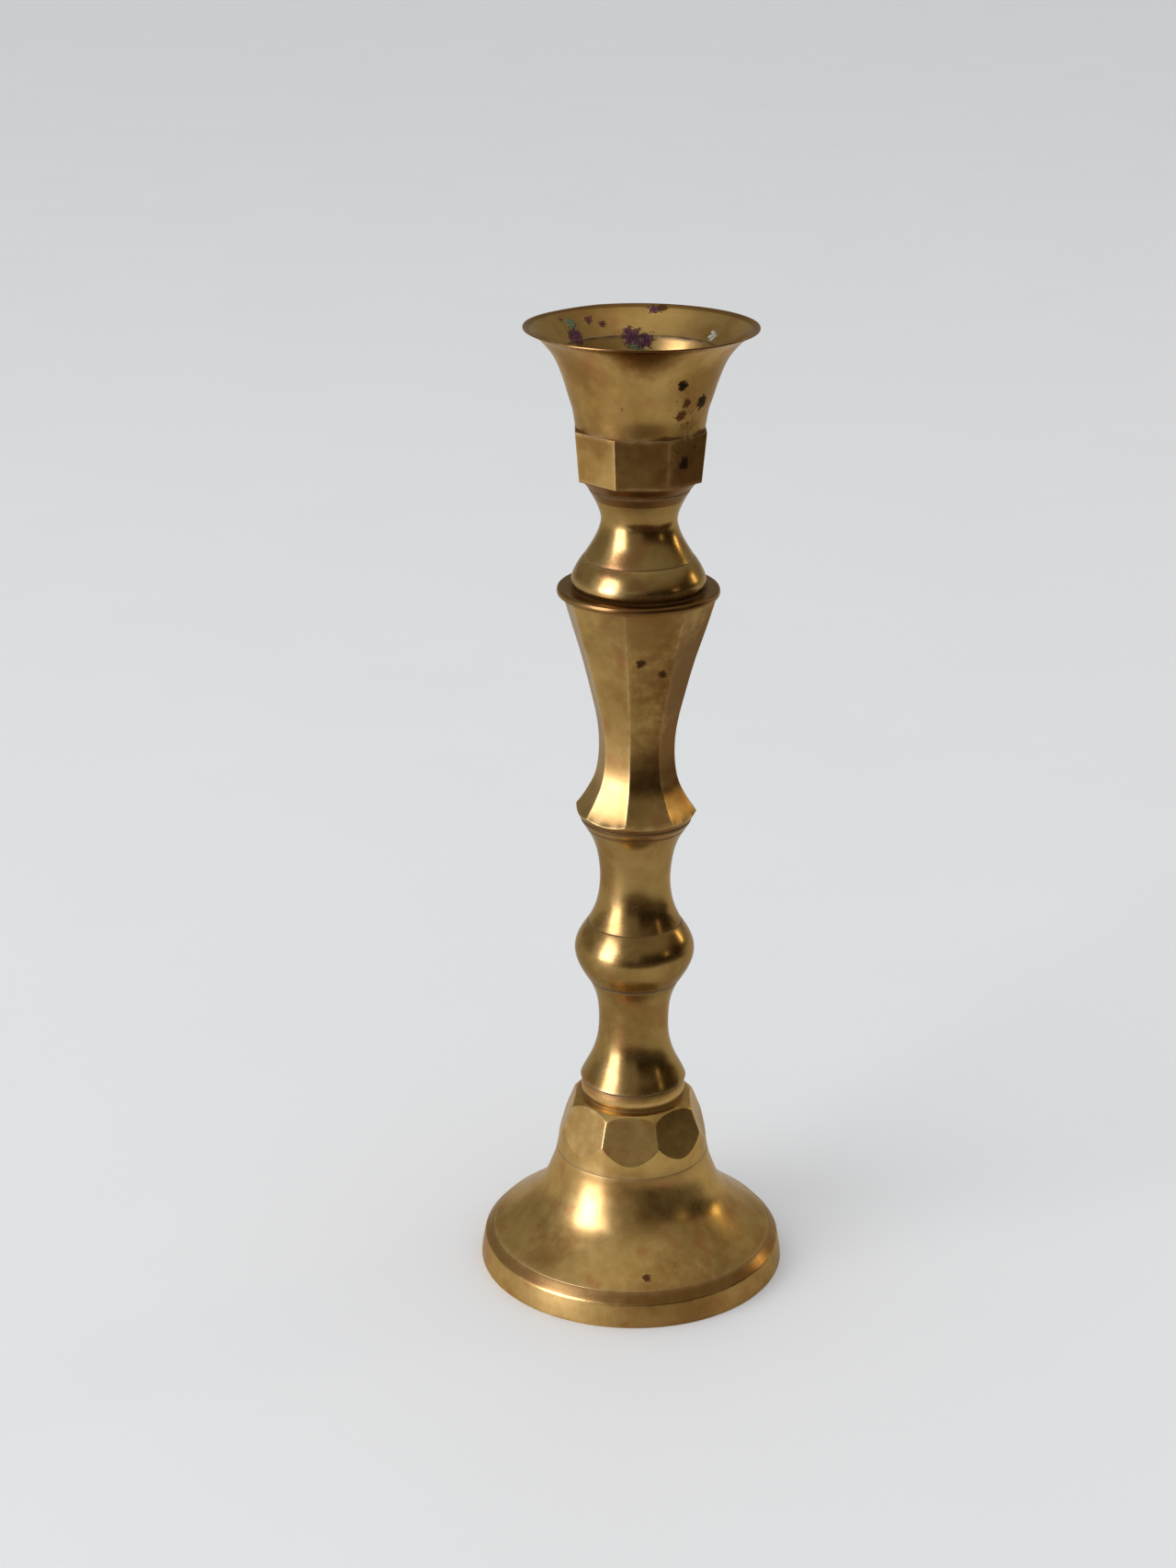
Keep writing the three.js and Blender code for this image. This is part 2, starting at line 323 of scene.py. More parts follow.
# ---------------------------------------------------------------- sections
def base_outline(theta):
    """Upright skirt, dished shoulder, faceted bulge, a ring on top, and the hollow underneath."""
    height = HEIGHT["base"]
    rim_line, rim_ends = groove(29.55, 6.9, -0.9)
    neck_line, neck_ends = groove(15.9, 25.45, -0.15)
    shoulder = [rim_ends[1], (28.05, 8), (25.4, 10), (22.05, 13), (19.4, 16), (17.5, 20), (16.35, 23.3)]
    bulge = spline(
        [neck_ends[1], (15.6, 27.5), (15.5, 29.5), (15.45, 31.2), (15.1, 33), (14.3, 35), (13.1, 36.9),
         (11.7, 38)],
        400,
    )

    def flat_at(z):
        return flat_radius(15.5 - 0.37 * (z - 28.3), theta, FLATS, ARRIS)

    low, high = crossings(bulge, flat_at)
    flat = [(flat_at(z), z) for z in np.linspace(low[1], high[1], 12)]
    below = np.concatenate([bulge[bulge[:, 1] < low[1]], low[None]])
    above = np.concatenate([high[None], bulge[bulge[:, 1] > high[1]]])
    counterbore = height - SPIGOT_LENGTH - COUNTERBORE_SPARE
    hollow = spline(
        [(8.3, WEB_UNDERSIDE), (10.2, 34.8), (12.1, 29.5), (13.3, 25), (15, 19.5), (18.3, 13.6), (22, 9.9)]
    )
    ring = [(10.5, 38.6), (10.8, 39.3), (10.85, 40.2), (10.7, 41.2), (10.55, height)]
    return [
        Run([(32.1, 0), (31.75, 2.6), (31.3, 5)], corner=0.3),
        Run([(31.3, 5), rim_ends[0]], corner=0.05),
        *rim_line,
        Run(spline(shoulder + [neck_ends[0]]), corner=0.05),
        *neck_line,
        Run(below, corner=0.07, count=5),
        Run(flat, corner=0.1, arris=True, count=14),
        Run(above, corner=0.15, count=5),
        Run([(11.7, 38), (10.45, 38.15)], dirt=0.55),
        Run([(10.45, 38.15), (10.5, 38.6)], dirt=0.3, count=2),
        Run(spline(ring), SEAT_EDGE, 1.0),
        Run([(10.55, height), (COUNTERBORE_RADIUS, height)], cast=0.3),
        Run([(COUNTERBORE_RADIUS, height), (COUNTERBORE_RADIUS, counterbore)], cast=0.3),
        Run([(COUNTERBORE_RADIUS, counterbore), (CLEARANCE_HOLE, counterbore)], cast=0.3),
        Run([(CLEARANCE_HOLE, counterbore), (CLEARANCE_HOLE, WEB_UNDERSIDE)], cast=1),
        Run([(CLEARANCE_HOLE, WEB_UNDERSIDE), (8.3, WEB_UNDERSIDE)], 0.5, 0.6, cast=1),
        Run(hollow, corner=0.3, cast=1),
        Run([(22, 9.9), (28.6, 4), (29.5, 3)], corner=0.4, cast=1),
        Run([(29.5, 3), (29.5, 0)], corner=0.3, cast=0.6),
        Run([(29.5, 0), (32.1, 0)], corner=0.25),
    ]


def spool_outline(theta):
    """Short waisted spool with a sharp lip at its foot."""
    height = HEIGHT["lower_spool"]
    cove = [
        (11.06, 0.3), (10.2, 2.1), (9.15, 4.1), (8.3, 6.2), (7.5, 9.3), (7.25, 13.4), (7.6, 17.6),
        (8.3, 20.2), (9.6, height),
    ]
    return [
        Run([(SPIGOT_RADIUS, 0), (10.6, 0)], SEAT_EDGE, 1.0),
        Run([(10.6, 0), (11.06, 0.3)], corner=0.1, count=2),
        Run(spline(cove), SEAT_EDGE, 1.0),
        Run([(9.6, height), (COUNTERBORE_RADIUS, height)], cast=0.3),
        *stem_inside(height),
    ]


def baluster_outline(theta):
    """Onion-shaped knop that runs up into a waisted neck."""
    height = HEIGHT["baluster"]
    line, ends = groove(9.6, 12.4, -0.6)
    knop = [(9.75, 0), (10.95, 2), (11.9, 4), (12.35, 6.5), (12.1, 8), (11.2, 10), ends[0]]
    lip_line, lip_ends = groove(10.44, 33.6, 0.62)
    neck = [
        ends[1], (8.4, 15), (7.5, 18.4), (7.22, 22), (7.45, 25.4), (8.2, 29.1), (9.5, 32.1), lip_ends[0],
    ]
    return [
        Run([(SPIGOT_RADIUS, 0), (9.75, 0)], SEAT_EDGE, 1.0),
        Run(spline(knop), corner=0.05),
        *line,
        Run(spline(neck), corner=0.05),
        *lip_line,
        Run([lip_ends[1], (11.25, 34.9)], corner=0.15, count=3),
        Run([(11.25, 34.9), (11.3, height)], 0.15, 1.0, count=2),
        Run([(11.3, height), (COUNTERBORE_RADIUS, height)], cast=0.3),
        *stem_inside(height),
    ]


def column_outline(theta):
    """Eight flats that taper to a waist and flare to a foot, under a thin round flange."""
    height = HEIGHT["faceted_column"]
    underside = height - 1.4
    sides = spline(
        [(13.75, 0), (12.35, 1.8), (11.05, 3.6), (9.87, 5.6), (8.85, 7.6), (8.2, 9.8), (7.75, 15.1),
         (8.1, 19.4), (8.75, 22.8), (9.65, 26.6), (11.8, 34.6), (13.4, 39.6), (15.6, underside)],
        300,
    )
    flat = np.array([(flat_radius(r * CORNER_TO_FLAT, theta, FLATS, ARRIS), z) for r, z in sides])
    seat_radius, bevel_slope = 11.3, 1.05 / 1.8
    bevel = seat_radius + bevel_slope * flat[:, 1]
    first = int(np.nonzero(flat[:, 0] < bevel)[0][0])
    foot = (bevel[first], flat[first, 1])
    flange = [(15.95, underside), (16.13, height - 0.85), (15.95, height - 0.2)]
    return [
        Run([(SPIGOT_RADIUS, 0), (seat_radius, 0)], SEAT_EDGE, 1.0),
        Run([(seat_radius, 0), foot], corner=0.14, count=5),
        Run(np.concatenate([[foot], flat[first + 1 :]]), 0.1, 0.35, arris=True, count=62),
        Run([flat[-1], (15.95, underside)], corner=0.1, count=3),
        Run(spline(flange), corner=0.1, count=4),
        Run([(15.95, height - 0.2), (15.7, height)], corner=0.08, count=2),
        Run([(15.7, height), (13.25, height)], 0.1, 1.0),
        Run([(13.25, height), (COUNTERBORE_RADIUS, height)], cast=0.3),
        *stem_inside(height),
    ]


def neck_outline(theta):
    """Bell that stands on the flange and draws in to the waist below the cup."""
    height = HEIGHT["neck_bell"]
    line, ends = groove(10.94, 6.1, -0.8)
    bell = [(13.3, 0.8), (13.25, 2), (12.75, 3.3), (12.05, 4.6), ends[0]]
    cove = [
        ends[1], (9.55, 8.3), (8.45, 10.3), (7.72, 12.3), (7.5, 13.6), (7.85, 15.4), (8.7, 17.4),
        (10.15, height),
    ]
    return [
        Run([(SPIGOT_RADIUS, 0), (12.6, 0)], SEAT_EDGE, 1.0),
        Run([(12.6, 0), (13.3, 0.8)], corner=0.2, count=3),
        Run(spline(bell), corner=0.05),
        *line,
        Run(spline(cove), 0.12, 1.0),
        Run([(10.15, height), (COUNTERBORE_RADIUS, height)], cast=0.3),
        *stem_inside(height, CUP_SPIGOT_LENGTH),
    ]


def cup_outline(theta):
    """Faceted band under a thin trumpet flare; the candle's socket above, the bolt's below."""
    height = HEIGHT["candle_cup"]
    band_foot, band_top, wall = 2.0, 11.9, 12.55
    foot = max(flat_radius(12.78 * CORNER_TO_FLAT, theta, FLATS, ARRIS), 11.8)
    top = flat_radius(13.68 * CORNER_TO_FLAT, theta, FLATS, ARRIS)
    flare = [
        (wall, band_top), (12.9, 14), (13.2, 15.6), (13.8, 17.5), (14.65, 20.3), (15.7, 23.3),
        (17.2, 26.3), (18.8, 28.3), (20.6, 29.95), (22.65, height - 0.33),
    ]
    inside = [(22.25, height - 0.06), (20.2, 30.1), (18.3, 28.4), (16.45, 26.35)]
    funnel = [(16.1, 26.15), (14.6, 23), (13.1, 19.2), (12, 15.9), (SOCKET_RADIUS, 13.3)]
    tapped = BOLT_SEAT + BOLT_LENGTH + 0.4 - SEAT["candle_cup"]
    hole = BOLT_RADIUS + THREAD_ROOM
    return [
        Run([(0, tapped), (hole, tapped)], count=3, cast=0.3),
        Run([(hole, tapped), (hole, -CUP_SPIGOT_LENGTH)], cast=0.3),
        Run([(hole, -CUP_SPIGOT_LENGTH), (SPIGOT_RADIUS, -CUP_SPIGOT_LENGTH)], cast=0.3),
        Run([(SPIGOT_RADIUS, -CUP_SPIGOT_LENGTH), (SPIGOT_RADIUS, 0)], cast=0.3),
        Run([(SPIGOT_RADIUS, 0), (10.1, 0)], 0.12, 1.0, cast=0.3),
        Run([(10.1, 0), (11.75, band_foot)], 0.05, 0.5, count=4),
        Run([(11.75, band_foot), (foot, band_foot)], corner=0.1, count=2),
        Run([(foot, band_foot), (top, band_top)], corner=0.1, arris=True, count=14),
        Run([(top, band_top), (wall, band_top)], 0.06, 0.6, count=3),
        Run(spline(flare), corner=0.14),
        Run([(22.65, height - 0.33), (22.6, height)], corner=0.1, count=2),
        Run([(22.6, height), (22.25, height - 0.06)], corner=0.1, count=2),
        Run(spline(inside), corner=0.08),
        Run([(16.45, 26.35), (16.1, 26.15)], 0.05, 1.0, count=2),
        Run(spline(funnel), 0.3, 0.3),
        Run([(SOCKET_RADIUS, 13.3), (SOCKET_RADIUS, SOCKET_FLOOR)], 0.5, 1.0),
        Run([(SOCKET_RADIUS, SOCKET_FLOOR), (0, SOCKET_FLOOR)]),
    ]


def uneven_rim(radius, height, azimuth):
    """The thin rim of the cup dips a little here and there."""
    near_rim = max(0.0, min(1.0, (radius - RIM_START) / RIM_WIDTH))
    around = Vector((math.sin(azimuth), math.cos(azimuth), 0.4)) * 1.3
    dip = RIM_DIP * near_rim**2 * max(0.0, noise.noise(around) - 0.05)
    return radius, height - dip


# ---------------------------------------------------------------- fasteners
def washer_outline(radius, thick):
    """A punched washer, with its upper outer edge drawn round."""
    return lambda theta: [
        Run([(WASHER_BORE, 0), (radius, 0)], corner=0.12),
        Run([(radius, 0), (radius, thick)], corner=0.35, count=3),
        Run([(radius, thick), (WASHER_BORE, thick)], corner=0.12),
        Run([(WASHER_BORE, thick), (WASHER_BORE, 0)], corner=0.12, count=3),
    ]


def bolt_outline(theta):
    """The bolt: a head whose corners are cut back by a cone, its shank and its threaded end."""
    flat = flat_radius(ACROSS_FLATS / 2, theta, HEXAGON, 0.15)
    cone = max(0.0, (flat - HEAD_FACE) * math.tan(math.radians(30)))
    cone_end = -BOLT_HEAD + cone + 0.01
    thread_start, shank = BOLT_LENGTH - THREAD_LENGTH, BOLT_RADIUS - 0.02
    chamfer_start, tip = BOLT_LENGTH - BOLT_CHAMFER, 2.3
    return [
        Run([(0, -BOLT_HEAD), (HEAD_FACE, -BOLT_HEAD)], corner=0.1, count=8),
        Run([(HEAD_FACE, -BOLT_HEAD), (flat, cone_end)], corner=0.05, count=3),
        Run([(flat, cone_end), (flat, -COLLAR_THICK)], corner=0.12, arris=True, count=8),
        Run([(flat, -COLLAR_THICK), (HEAD_COLLAR, -COLLAR_THICK)], 0.05, 0.4, count=3),
        Run([(HEAD_COLLAR, -COLLAR_THICK), (HEAD_COLLAR, 0)], 0.05, count=2),
        Run([(HEAD_COLLAR, 0), (shank, 0)], 0.2, 0.5, count=3),
        Run([(shank, 0), (shank, thread_start)], 0, count=30),
        Run([(shank, thread_start), (shank, chamfer_start)], 0.02, count=12 * int(THREAD_LENGTH)),
        Run([(shank, chamfer_start), (tip, BOLT_LENGTH)], 0.1, count=4),
        Run([(tip, BOLT_LENGTH), (0, BOLT_LENGTH)], count=3),
    ]


def threaded(radius, height, azimuth):
    """A right-hand thread over the far end of the bolt, fading in at its start."""
    start = BOLT_LENGTH - THREAD_LENGTH
    if radius < BOLT_RADIUS - 0.1 or height < start + 0.05:
        return radius, height
    phase = (height / THREAD_PITCH - (azimuth - math.pi / 2) / (2 * math.pi)) % 1.0
    flank = min(1.0, max(0.0, (abs(phase - 0.5) * 2 - THREAD_ROOT) / THREAD_FLANKS))
    fade = min(1.0, (height - start) / THREAD_RUN_OUT)
    return radius - THREAD_DEPTH * (1 - flank) * fade, height


def split_ring(name, radius, thick, gap, material, seat, sections=96):
    """A flat ring with a straight cut through it at the front."""
    corners = [(WASHER_BORE, 0), (radius, 0), (radius, thick), (WASHER_BORE, thick)]
    runs = [Run([a, b], corner=0.2) for a, b in zip(corners, corners[1:] + corners[:1])]
    outline, _ = rounded(runs, True)
    rows = len(outline)
    places = []
    for step in range(sections):
        share = step / (sections - 1)
        for r, z in outline:
            off = math.asin(gap / 2 / r)
            azimuth = off + share * (2 * math.pi - 2 * off)
            places.append((r * math.sin(azimuth), -r * math.cos(azimuth), z + seat))
    faces = [
        (j * rows + i, (j + 1) * rows + i, (j + 1) * rows + (i + 1) % rows, j * rows + (i + 1) % rows)
        for j in range(sections - 1)
        for i in range(rows)
    ]
    faces.append(tuple(range(rows)))
    faces.append(tuple(reversed(range((sections - 1) * rows, sections * rows))))
    plain = np.zeros(len(places))
    values = {"arc": np.tile(outline[:, 0], sections), "grime": plain, "wear": plain, "cast": plain}
    return mesh_object(name, np.array(places) * MM, faces, values, material)


# ---------------------------------------------------------------- materials
class Nodes:
    """Short names for the nodes of one tree."""

    def __init__(self, tree):
        self.tree = tree

    def set(self, socket, value):
        if isinstance(value, bpy.types.NodeSocket):
            self.tree.links.new(value, socket)
        elif isinstance(value, (tuple, Vector)) and socket.type == "RGBA":
            socket.default_value = (*value, 1.0)
        else:
            socket.default_value = value

    def node(self, kind, settings, inputs, output=0):
        made = self.tree.nodes.new(kind)
        for key, value in settings.items():
            setattr(made, key, value)
        for key, value in inputs.items():
            self.set(made.inputs[key], value)
        return made.outputs[output]

    def math(self, operation, *values):
        settings = {"operation": operation, "use_clamp": True}
        return self.node("ShaderNodeMath", settings, dict(enumerate(values)))

    def product(self, first, second):
        return self.math("MULTIPLY", first, second)

    def total(self, first, second):
        return self.math("ADD", first, second)

    def vector(self, operation, first, second=None, scale=None):
        inputs = {0: first}
        if second is not None:
            inputs[1] = second
        if scale is not None:
            inputs["Scale"] = scale
        output = "Value" if operation in ("DISTANCE", "DOT_PRODUCT") else "Vector"
        return self.node("ShaderNodeVectorMath", {"operation": operation}, inputs, output)

    def mix(self, share, first, second):
        settings = {"data_type": "RGBA"}
        return self.node("ShaderNodeMix", settings, {0: share, 6: first, 7: second}, 2)

    def between(self, value, low, high, at_low=0.0, at_high=1.0):
        """A smooth step from at_low to at_high as value goes from low to high."""
        settings = {"interpolation_type": "SMOOTHSTEP"}
        inputs = {"Value": value, "From Min": low, "From Max": high, "To Min": at_low, "To Max": at_high}
        return self.node("ShaderNodeMapRange", settings, inputs)


class Material(Nodes):
    """The nodes of one new material, with places in millimetres."""

    def __init__(self, name, **uniform):
        self.material = bpy.data.materials.new(name)
        self.material.use_nodes = True
        super().__init__(self.material.node_tree)
        self.shader = self.tree.nodes["Principled BSDF"]
        for key, value in uniform.items():
            self.shader.inputs[key.replace("_", " ")].default_value = value
        self.place = self.vector("SCALE", self.node("ShaderNodeTexCoord", {}, {}, "Object"), scale=1 / MM)

    def noise(self, scale, detail=3.0, rough=0.55, place=None, output=0):
        inputs = {"Scale": scale, "Detail": detail, "Roughness": rough, "Vector": place or self.place}
        return self.node("ShaderNodeTexNoise", {}, inputs, output)

    def lines(self, scale, detail=1.0):
        """Fine turned lines: they run round, and vary only along the outline."""
        inputs = {"W": self.attribute("arc"), "Scale": scale, "Detail": detail}
        return self.node("ShaderNodeTexNoise", {"noise_dimensions": "1D"}, inputs)

    def attribute(self, name):
        return self.node("ShaderNodeAttribute", {"attribute_name": name}, {}, "Fac")

    def bump(self, height, depth, normal=None):
        inputs = {"Height": height, "Distance": depth, "Strength": 1.0}
        if normal:
            inputs["Normal"] = normal
        return self.node("ShaderNodeBump", {}, inputs)

    def distance(self, centre):
        return self.vector("DISTANCE", self.place, centre)

    def spot(self, centre, radius, ragged):
        """A stain with an uneven outline round a point."""
        cloud = self.noise(1.4 / radius, 6.0, 0.65, output="Color")
        shift = self.vector("SUBTRACT", cloud, (0.5, 0.5, 0.5))
        moved = self.vector("ADD", self.place, self.vector("SCALE", shift, scale=radius * ragged))
        away = self.vector("DISTANCE", moved, centre)
        return self.between(away, radius * 0.8, radius * 1.3, 1.0, 0.0)


# colours of polished, ordinary, tarnished and coppery brass, before the tone of a section
POLISHED, ORDINARY, TARNISHED = (0.74, 0.5, 0.19), (0.54, 0.335, 0.1), (0.36, 0.2, 0.05)
# the browned colour serves for tarnished places and for the darker rings, most of which are painted shade
# and painted dark reflections
COPPERY, BROWN_TARNISH_AND_SHADE = (0.46, 0.2, 0.065), (0.19, 0.08, 0.02)
CAST_DARK, CAST_LIGHT = (0.16, 0.09, 0.035), (0.36, 0.22, 0.09)
EDGE_TINT = (0.84, 0.75, 0.62, 1.0)
GRIME = (0.045, 0.022, 0.009)
BLACKENED = (0.014, 0.007, 0.004)
BROWN = (0.11, 0.042, 0.014)
RUST = (0.06, 0.024, 0.009)
WAX_PURPLE = (0.1, 0.006, 0.035)
WAX_RED = (0.13, 0.004, 0.008)
WAX_GREEN = (0.12, 0.15, 0.06)
WAX_WHITE = (0.44, 0.4, 0.29)
LINE_RELIEF, MOTTLE_RELIEF, CAST_RELIEF, WAX_RELIEF = 4e-6, 6e-6, 1.2e-4, 2.5e-4


class Brass(Material):
    """Aged brass: patchy tarnish, grime in the joints, bright worn edges, fine turned lines.

    tone scales how much it reflects. tarnish runs from 0, kept polished, to 1, brown all over.
    """

    def __init__(self, name, tone, tarnish, rough):
        super().__init__(name, Specular_Tint=EDGE_TINT)
        self.tone = tone
        self.broad, self.mottle = self.noise(0.085, 4), self.noise(0.42, 5, 0.62)
        self.speck, self.turning = self.noise(1.9, 3), self.lines(3.1, 3)
        self.cast = self.attribute("cast")
        patchy = self.between(self.mottle, 0.25, 0.6, 0.55, 1.0)
        self.grime = self.product(self.attribute("grime"), patchy)
        self.colour = self.patina(tarnish)
        self.roughness = self.dullness(rough)
        self.metal = self.math("SUBTRACT", 1.0, self.product(self.grime, 0.55))
        self.normal = self.relief()

    def toned(self, colour):
        return tuple(self.tone * part for part in colour)

    def patina(self, tarnish):
        """Tarnish in broad patches, coppery places, polish, turned lines, wear, cast skin and grime."""
        light, dark = self.toned(POLISHED), self.toned(TARNISHED)
        reach = 0.66 - 0.3 * tarnish
        colour = self.mix(self.between(self.broad, reach - 0.16, reach + 0.16), self.toned(ORDINARY), dark)
        colour = self.mix(self.between(self.mottle, 0.36, 0.8, 0, 0.32 - 0.2 * tarnish), colour, light)
        elsewhere = self.vector("ADD", self.place, (40, 0, 0))
        coppery = self.between(self.noise(0.14, 3, place=elsewhere), 0.53, 0.7, 0, 0.7)
        colour = self.mix(coppery, colour, self.toned(COPPERY))
        colour = self.mix(self.between(self.speck, 0.62, 0.78, 0, 0.18), colour, dark)
        colour = self.mix(self.between(self.turning, 0.35, 0.7, 0, 0.1), colour, dark)
        wear = self.product(self.attribute("wear"), self.between(self.mottle, 0.3, 0.6, 0.35, 0.9))
        colour = self.mix(wear, colour, light)
        skin = self.mix(self.mottle, CAST_DARK, CAST_LIGHT)
        colour = self.mix(self.product(self.cast, 0.8), colour, skin)
        return self.mix(self.grime, colour, GRIME)

    def dullness(self, rough):
        """Roughness: uneven on the metal, more where it is cast or grimy."""
        patches = self.total(self.product(self.broad, 0.5), self.product(self.mottle, 0.5))
        roughness = self.between(patches, 0.35, 0.65, rough - 0.02, rough + 0.04)
        roughness = self.total(roughness, self.between(self.speck, 0.55, 0.75, 0, 0.05))
        roughness = self.total(roughness, self.product(self.cast, 0.25))
        return self.total(roughness, self.product(self.grime, 0.3))

    def relief(self):
        """Turned lines and handling scratches, a slow unevenness, and the pitted cast skin."""
        scratches = self.noise(0.9, 5, 0.7, self.vector("MULTIPLY", self.place, (1, 1, 9)))
        fine = self.total(self.product(self.turning, 0.5), self.product(scratches, 0.05))
        slow = self.total(self.product(self.mottle, 0.5), self.product(self.broad, 0.5))
        normal = self.bump(slow, MOTTLE_RELIEF, self.bump(fine, LINE_RELIEF))
        return self.bump(self.product(self.noise(2.4, 4, 0.6), self.cast), CAST_RELIEF, normal)

    def darker_and_shaded_bands(self, bands):
        """Darker rings round the section, each (bottom, top, strength): mostly painted shade and painted
        dark reflections.
        """
        rise = self.node("ShaderNodeSeparateXYZ", {}, {0: self.place}, "Z")
        for low, high, strength in bands:
            above, below = self.between(rise, low - 0.2, low), self.between(rise, high, high + 0.2, 1, 0)
            share = self.product(self.product(above, below), strength)
            self.colour = self.mix(share, self.colour, self.toned(BROWN_TARNISH_AND_SHADE))

    def brown_places(self, places):
        """Browned places, each (centre, radius, strength)."""
        for centre, radius, strength in places:
            away = self.math("DIVIDE", self.distance(centre), radius * 2)
            away = self.total(away, self.between(self.mottle, 0.3, 0.7, 0, 0.12))
            share = self.between(away, 0.3, 0.68, strength, 0.0)
            self.colour = self.mix(share, self.colour, self.toned(BROWN_TARNISH_AND_SHADE))

    def freckles(self, places):
        """Small black freckles that thin out from each (centre, radius)."""
        freckle = self.between(self.noise(1.5, 3, 0.6), 0.6, 0.66)
        for centre, radius in places:
            near = self.between(self.distance(centre), radius * 0.5, radius, 0.9, 0.0)
            self.colour = self.mix(self.product(freckle, near), self.colour, BLACKENED)

    def stains(self, stains):
        """Dull stains, each (centre, radius, colour)."""
        for centre, radius, tint in stains:
            mark = self.product(self.spot(centre, radius, 2.6), 0.97)
            self.colour = self.mix(mark, self.colour, tint)
            self.roughness = self.total(self.roughness, self.product(mark, 0.25))

    def wax(self, drops):
        """Raised remains of candle wax, each (centre, radius, colour)."""
        for centre, radius, tint in drops:
            mark = self.spot(centre, radius, 3.2)
            deep = tuple(0.35 * part for part in tint)
            tints = self.mix(self.between(self.speck, 0.4, 0.6), tint, deep)
            self.colour = self.mix(mark, self.colour, tints)
            self.roughness = self.mix(mark, self.roughness, (0.55, 0.55, 0.55))
            self.metal = self.math("SUBTRACT", self.metal, mark)
            self.normal = self.bump(mark, WAX_RELIEF, self.normal)

    def finish(self):
        self.set(self.shader.inputs["Base Color"], self.colour)
        self.set(self.shader.inputs["Roughness"], self.roughness)
        self.set(self.shader.inputs["Metallic"], self.metal)
        self.set(self.shader.inputs["Normal"], self.normal)
        return self.material


def base_brass():
    g = Brass("aged brass of the base", 0.88, 0.35, 0.28)
    # darker rings on the ledge above the skirt and just under the spool's lip
    g.darker_and_shaded_bands([(5.3, 6.7, 0.5), (41.2, 42.2, 0.4)])
    g.brown_places([((8, -33, 0), 14.0, 0.5), ((24, -26, 2), 14.0, 0.35)])
    g.stains([((3.3, -26.8, 8.8), 0.8, BROWN)])
    return g.finish()


def stem_brass():
    g = Brass("aged brass of the stem", 0.6, 0.45, 0.23)
    # painted shade: a dark ring at the top of the bell just under the cup, and two thin dark lines on the
    # baluster's lip under the column's foot
    g.darker_and_shaded_bands([(166.7, 168.3, 0.8), (98.3, 98.9, 0.7), (99.9, 100.6, 0.7)])
    return g.finish()


def column_brass():
    g = Brass("tarnished brass of the column", 0.66, 0.6, 0.29)
    # painted dark reflections: the thin flange at the top, and the bevel at the foot
    g.darker_and_shaded_bands([(147.1, 148.9, 0.75), (100.2, 101.3, 0.7)])
    g.brown_places([
        ((13.5, -3, 132), 14.0, 0.95),
        ((10, -2, 116), 12.0, 0.8),
        ((4, -12, 132), 6.0, 0.45),
        ((2, -16, 147), 12.0, 0.5),
    ])
    g.stains([((0.6, -11.4, 136.2), 0.9, RUST), ((4.9, -9.7, 133.6), 0.8, RUST)])
    return g.finish()


def cup_brass():
    g = Brass("stained brass of the cup", 0.8, 0.6, 0.29)
    # a painted dark reflection on the cone under the faceted band, and a darker ring at the rim
    g.darker_and_shaded_bands([(168.4, 170.75, 0.92), (199.55, 200.5, 0.75)])
    g.brown_places([
        ((12.5, -8, 174), 9.0, 0.8),
        ((12, -9, 189), 7.0, 0.5),
        ((1, -21, 197.5), 7.5, 0.8),
        ((-9, -10, 180.5), 5.0, 0.4),
        ((-13, -12, 193), 6.0, 0.35),
    ])
    g.freckles([((10.0, -11.0, 186.5), 6.0), ((9.0, -9.0, 178.0), 5.0)])
    g.stains([
        ((8.0, -13.4, 191.3), 1.0, BLACKENED),
        ((11.6, -8.1, 187.3), 1.4, BLACKENED),
        ((7.7, -11.0, 185.2), 1.1, BROWN),
        ((8.6, -11.2, 187.6), 0.9, BROWN),
        ((8.3, -8.9, 175.5), 1.3, BLACKENED),
        ((0.6, -13.9, 188.6), 0.35, BROWN),
        ((-3.4, -13.1, 187), 0.5, BROWN),
        ((4.1, 20.9, 199.4), 1.0, BROWN),
    ])
    g.wax([
        ((-13.8, 12.9, 197.6), 1.2, WAX_GREEN),
        ((-12.8, 11.1, 195.6), 1.7, WAX_PURPLE),
        ((-10.4, 16.0, 197.8), 0.8, WAX_RED),
        ((-7.7, 16.5, 197.0), 0.6, WAX_RED),
        ((-0.8, 15.5, 193.6), 1.6, WAX_GREEN),
        ((-2.0, 15.7, 195.0), 1.7, WAX_PURPLE),
        ((0.8, 15.7, 194.0), 1.5, WAX_PURPLE),
        ((13.8, 10.4, 196.0), 1.1, WAX_WHITE),
        ((-15.6, 12.2, 198.8), 0.5, WAX_RED),
        ((2.4, 20.6, 199.1), 1.0, WAX_PURPLE),
    ])
    return g.finish()


def zinc():
    """Dull zinc plate with a bluish cast and a few freckles of rust."""
    g = Material("dull zinc plate", Metallic=1.0)
    spangle, freckle = g.noise(0.7, 4), g.noise(1.7, 3)
    colour = g.mix(spangle, (0.34, 0.35, 0.36), (0.56, 0.56, 0.54))
    colour = g.mix(g.between(freckle, 0.66, 0.74), colour, (0.2, 0.09, 0.035))
    g.set(g.shader.inputs["Base Color"], colour)
    g.set(g.shader.inputs["Roughness"], g.between(spangle, 0.3, 0.7, 0.32, 0.55))
    g.set(g.shader.inputs["Normal"], g.bump(freckle, 0.00001))
    return g.material


